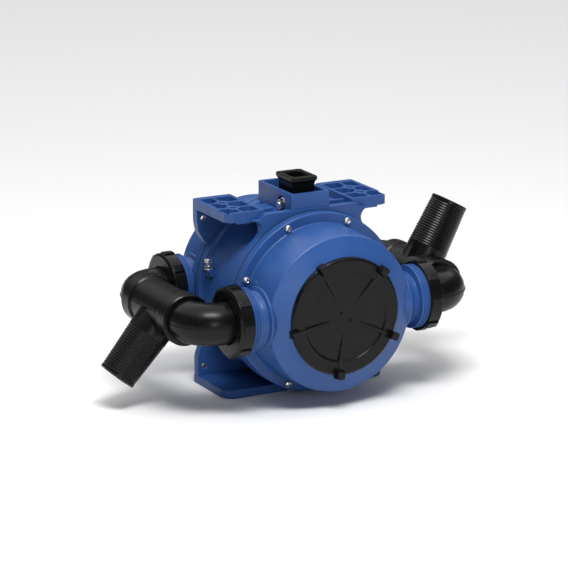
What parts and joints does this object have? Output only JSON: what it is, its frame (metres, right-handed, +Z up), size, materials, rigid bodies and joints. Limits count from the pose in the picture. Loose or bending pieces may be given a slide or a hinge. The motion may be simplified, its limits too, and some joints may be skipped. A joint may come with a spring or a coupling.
{
  "type": "hand diaphragm pump",
  "caption": "Hand-operated diaphragm pump: lever socket on a blue housing, lidded chambers front and rear, union-nut ports joined by elbows and tees with ribbed hose tails.",
  "frame": {"origin": "centre of the underside of the base, on the mid-plane between the two diaphragms", "axes": "+X to the right seen from the front lid, from the inlet to the outlet; +Y to the rear along the rod; +Z up"},
  "size_m": [0.551, 0.314, 0.2913],
  "materials": {
    "blue_body": "moulded, semi-gloss",
    "black_fitting": "moulded, glossy",
    "rubber": "matt",
    "steel": "bright zinc",
    "cast_aluminium": "as cast"
  },
  "bodies": {
    "pump_body": {"housing": "blue_body", "front_chamber": "blue_body", "front_lid_seal": "rubber", "front_diaphragm": "rubber", "rear_chamber": "blue_body", "rear_lid_seal": "rubber", "rear_diaphragm": "rubber", "front_screw_1": "steel", "front_screw_2": "steel", "front_screw_3": "steel", "front_screw_4": "steel", "front_screw_5": "steel", "front_screw_6": "steel", "front_screw_7": "steel", "front_screw_8": "steel", "rear_screw_1": "steel", "rear_screw_2": "steel", "rear_screw_3": "steel", "rear_screw_4": "steel", "rear_screw_5": "steel", "rear_screw_6": "steel", "rear_screw_7": "steel", "rear_screw_8": "steel", "front_right_union_seal": "rubber", "front_right_elbow": "black_fitting", "front_left_union_seal": "rubber", "front_left_elbow": "black_fitting", "rear_left_union_seal": "rubber", "rear_left_elbow": "black_fitting", "rear_right_union_seal": "rubber", "rear_right_elbow": "black_fitting", "right_ledge_bolt": "steel", "left_ledge_bolt": "steel"},
    "lever": {"lever_socket": "black_fitting", "rocker_arm": "cast_aluminium", "fulcrum_pin": "steel", "fulcrum_washer": "steel", "fulcrum_nut": "steel"},
    "diaphragm_rod": {"connecting_rod": "steel", "drive_pin": "steel", "front_outer_plate": "cast_aluminium", "front_inner_plate": "cast_aluminium", "front_rod_nut": "steel", "rear_outer_plate": "cast_aluminium", "rear_inner_plate": "cast_aluminium", "rear_rod_nut": "steel"},
    "front_lid": {"front_lid": "black_fitting"},
    "rear_lid": {"rear_lid": "black_fitting"},
    "front_right_union_nut": {"front_right_union_nut": "black_fitting"},
    "front_left_union_nut": {"front_left_union_nut": "black_fitting"},
    "rear_left_union_nut": {"rear_left_union_nut": "black_fitting"},
    "rear_right_union_nut": {"rear_right_union_nut": "black_fitting"},
    "inlet_tee": {"inlet_tee": "black_fitting"},
    "outlet_tee": {"outlet_tee": "black_fitting"},
    "front_inlet_flap": {"front_inlet_flap": "rubber"},
    "front_outlet_flap": {"front_outlet_flap": "rubber"},
    "rear_inlet_flap": {"rear_inlet_flap": "rubber"},
    "rear_outlet_flap": {"rear_outlet_flap": "rubber"}
  },
  "joints": [
    {"name": "lever_rock", "type": "hinge", "parent": "pump_body", "child": "lever", "pos_m": [0, -0.019, 0.2545], "axis": [1, 0, 0], "range_deg": [-10, 10]},
    {"name": "rod_slide", "type": "slide", "parent": "pump_body", "child": "diaphragm_rod", "axis": [0, 1, 0], "range_m": [-0.0225, 0.0225], "deforming": ["front_diaphragm", "rear_diaphragm"]},
    {"name": "inlet_tee_swivel", "type": "hinge", "parent": "pump_body", "child": "inlet_tee", "pos_m": [-0.1915, 0, 0.127], "axis": [0, 1, 0], "range_deg": [-41, 139]},
    {"name": "outlet_tee_swivel", "type": "hinge", "parent": "pump_body", "child": "outlet_tee", "pos_m": [0.1915, 0, 0.127], "axis": [0, 1, 0], "range_deg": [-29, 151]},
    {"name": "front_lid_turn", "type": "hinge", "parent": "pump_body", "child": "front_lid", "pos_m": [0, -0.14, 0.127], "axis": [0, -1, 0], "continuous": true},
    {"name": "rear_lid_turn", "type": "hinge", "parent": "pump_body", "child": "rear_lid", "pos_m": [0, 0.14, 0.127], "axis": [0, 1, 0], "continuous": true},
    {"name": "front_right_nut_turn", "type": "hinge", "parent": "pump_body", "child": "front_right_union_nut", "pos_m": [0.14, -0.098, 0.127], "axis": [1, 0, 0], "continuous": true},
    {"name": "front_left_nut_turn", "type": "hinge", "parent": "pump_body", "child": "front_left_union_nut", "pos_m": [-0.14, -0.098, 0.127], "axis": [-1, 0, 0], "continuous": true},
    {"name": "rear_left_nut_turn", "type": "hinge", "parent": "pump_body", "child": "rear_left_union_nut", "pos_m": [-0.14, 0.098, 0.127], "axis": [-1, 0, 0], "continuous": true},
    {"name": "rear_right_nut_turn", "type": "hinge", "parent": "pump_body", "child": "rear_right_union_nut", "pos_m": [0.14, 0.098, 0.127], "axis": [1, 0, 0], "continuous": true},
    {"name": "front_inlet_flap_swing", "type": "hinge", "parent": "pump_body", "child": "front_inlet_flap", "pos_m": [-0.1036, -0.098, 0.1515], "axis": [0, -1, 0], "range_deg": [0, 30]},
    {"name": "front_outlet_flap_swing", "type": "hinge", "parent": "pump_body", "child": "front_outlet_flap", "pos_m": [0.1124, -0.098, 0.1515], "axis": [0, -1, 0], "range_deg": [0, 30]},
    {"name": "rear_inlet_flap_swing", "type": "hinge", "parent": "pump_body", "child": "rear_inlet_flap", "pos_m": [-0.1036, 0.098, 0.1515], "axis": [0, -1, 0], "range_deg": [0, 30]},
    {"name": "rear_outlet_flap_swing", "type": "hinge", "parent": "pump_body", "child": "rear_outlet_flap", "pos_m": [0.1124, 0.098, 0.1515], "axis": [0, -1, 0], "range_deg": [0, 30]}
  ],
  "couplings": [
    {"joint": "rod_slide", "follows": "lever_rock", "m_per_rad": 0.1275}
  ]
}
